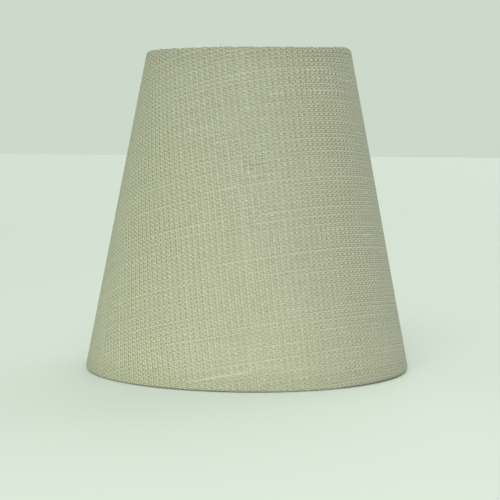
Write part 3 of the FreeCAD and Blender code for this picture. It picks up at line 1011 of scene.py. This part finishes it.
def panel_size():
    """The flat panel's width, length and area. It is a ring sector cut from the cone."""
    _, from_tip = cloth_section()
    spread = (PANEL_END - PANEL_START) * math.sin(TILT)
    longest, shortest = from_tip.max(), from_tip.min()
    width = 2 * longest * math.sin(spread / 2)
    length = longest - shortest * math.cos(spread / 2)
    area = spread / 2 * (longest ** 2 - shortest ** 2)
    return width, length, area


def linen_cover():
    fabric = Fabric()
    add_panel(fabric)
    for start, end, thread, height in WEFT_SLUBS:
        add_slub(fabric, start, end, thread, height)
    add_back_slubs(fabric)
    add_knot(fabric)
    add_stray_fibre(fabric)
    piece = fabric.piece("linen_panel")
    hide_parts("linen_cover")
    width, length, area = panel_size()


# ---------------------------------------------------------------- the liner
LINER_COLUMNS = 361
LINER_ROWS = 60
LINER_INSET = 0.2 * MM       # of its edges from the wires' levels
LINER_SHARE = 0.9            # of its thickness, so that it stays off the cloth


def shade_liner():
    """The liner: a thin shell of two faces, lapped like the cloth."""
    angles = np.linspace(PANEL_START, PANEL_END, LINER_COLUMNS)[None, :]
    alongs = np.linspace(LINER_INSET, WALL - LINER_INSET, LINER_ROWS)
    inner = [(LINER_FACE, along) for along in alongs]
    outer = [(LINER_FACE + LINER_SHARE * LINER, along) for along in alongs[::-1]]
    section = np.array(inner + outer + inner[:1])
    offset, along = section[:, :1], section[:, 1:]
    push = lap_lift(angles) + waves(angles, along)
    points = on_cone(offset + push, along, angles)
    faces = grid_faces(len(section), LINER_COLUMNS)
    piece = new_mesh("liner_sheet", points.reshape(-1, 3), faces,
                     "shade", MATERIALS["liner"])
    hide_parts("shade_liner")


linen_cover()
shade_liner()


# ---------------------------------------------------------------- the frame's own pieces
def dress_nodes():
    """Give each of the frame's nodes the material of its slot."""
    for part in frame["record"]["subparts"]:
        node = frame["nodes"].get(part["node"])
        if node is None:
            continue
        for place in node.material_slots:
            place.material = MATERIALS[part["material_slot"]]


dress_nodes()


# ---------------------------------------------------------------- floor, light and camera
FLOOR_HALF = 30.0
FLOOR_COLOURS = ((0.584, 0.618, 0.590, 1), (0.596, 0.630, 0.602, 1))
ROOM_COLOUR = (0.610, 0.694, 0.597, 1)
WINDOW_COLOUR = (0.97, 1.0, 0.93)
WHITE = (1.0, 1.0, 1.0)
CAMERA_PLACE = (1.5 * MM, -900 * MM, 135.5 * MM)
CAMERA_PITCH = math.radians(3.97)
CAMERA_ROLL = math.radians(0.45)


def pale_floor():
    mesh = bpy.data.meshes.new("floor")
    corners = [(-1, -1), (1, -1), (1, 1), (-1, 1)]
    mesh.from_pydata([(FLOOR_HALF * x, FLOOR_HALF * y, 0) for x, y in corners],
                     [], [(0, 1, 2, 3)])
    floor = bpy.data.objects.new("floor", mesh)
    bpy.context.collection.objects.link(floor)
    n = Nodes("floor_paint")
    cloud = n.noise(n.own_place(), scale=3.0, detail=3.0)
    tone = n.tint(cloud, *FLOOR_COLOURS)
    mesh.materials.append(n.finish(tone, roughness=0.8, Specular_IOR_Level=0.2))


def aim_light(lamp, place, direction):
    holder = bpy.data.objects.new(lamp.name, lamp)
    holder.location = place
    holder.rotation_euler = Vector(direction).to_track_quat("-Z", "Y").to_euler()
    bpy.context.collection.objects.link(holder)


def add_sun(name, energy, width, colour, direction):
    """A wide soft light, its width in degrees."""
    sun = bpy.data.lights.new(name, "SUN")
    sun.energy = energy
    sun.angle = math.radians(width)
    sun.color = colour
    aim_light(sun, (0, 0, 0), direction)


def add_low_light():
    """A soft spot of window light, low in front of the shade."""
    low = bpy.data.lights.new("low_light", "SPOT")
    low.energy = 340.0
    low.spot_size = math.radians(15)
    low.spot_blend = 1.0
    low.shadow_soft_size = 0.3
    low.color = WINDOW_COLOUR
    aim_light(low, place=(-0.3, -3.0, 0.7), direction=(0.3, 2.9, -0.93))


def light_room():
    world = bpy.data.worlds.new("room")
    world.use_nodes = True
    background = world.node_tree.nodes["Background"]
    background.inputs["Color"].default_value = ROOM_COLOUR
    background.inputs["Strength"].default_value = 1.0
    bpy.context.scene.world = world
    add_sun("window", energy=1.8, width=50, colour=WINDOW_COLOUR, direction=(0.14, 1.0, -0.75))
    add_sun("fill", energy=0.9, width=60, colour=WHITE, direction=(-0.5, -1.0, -0.6))
    add_low_light()


def add_camera():
    camera = bpy.data.cameras.new("camera")
    camera.sensor_width = 36.0
    camera.lens = 104.3
    camera.clip_end = 100.0
    look = (Matrix.Rotation(math.pi / 2 - CAMERA_PITCH, 4, "X")
            @ Matrix.Rotation(CAMERA_ROLL, 4, "Z"))
    piece = bpy.data.objects.new("camera", camera)
    piece.matrix_world = Matrix.Translation(CAMERA_PLACE) @ look
    bpy.context.collection.objects.link(piece)
    bpy.context.scene.camera = piece


pale_floor()
light_room()
add_camera()
bpy.context.scene.view_settings.view_transform = "Standard"
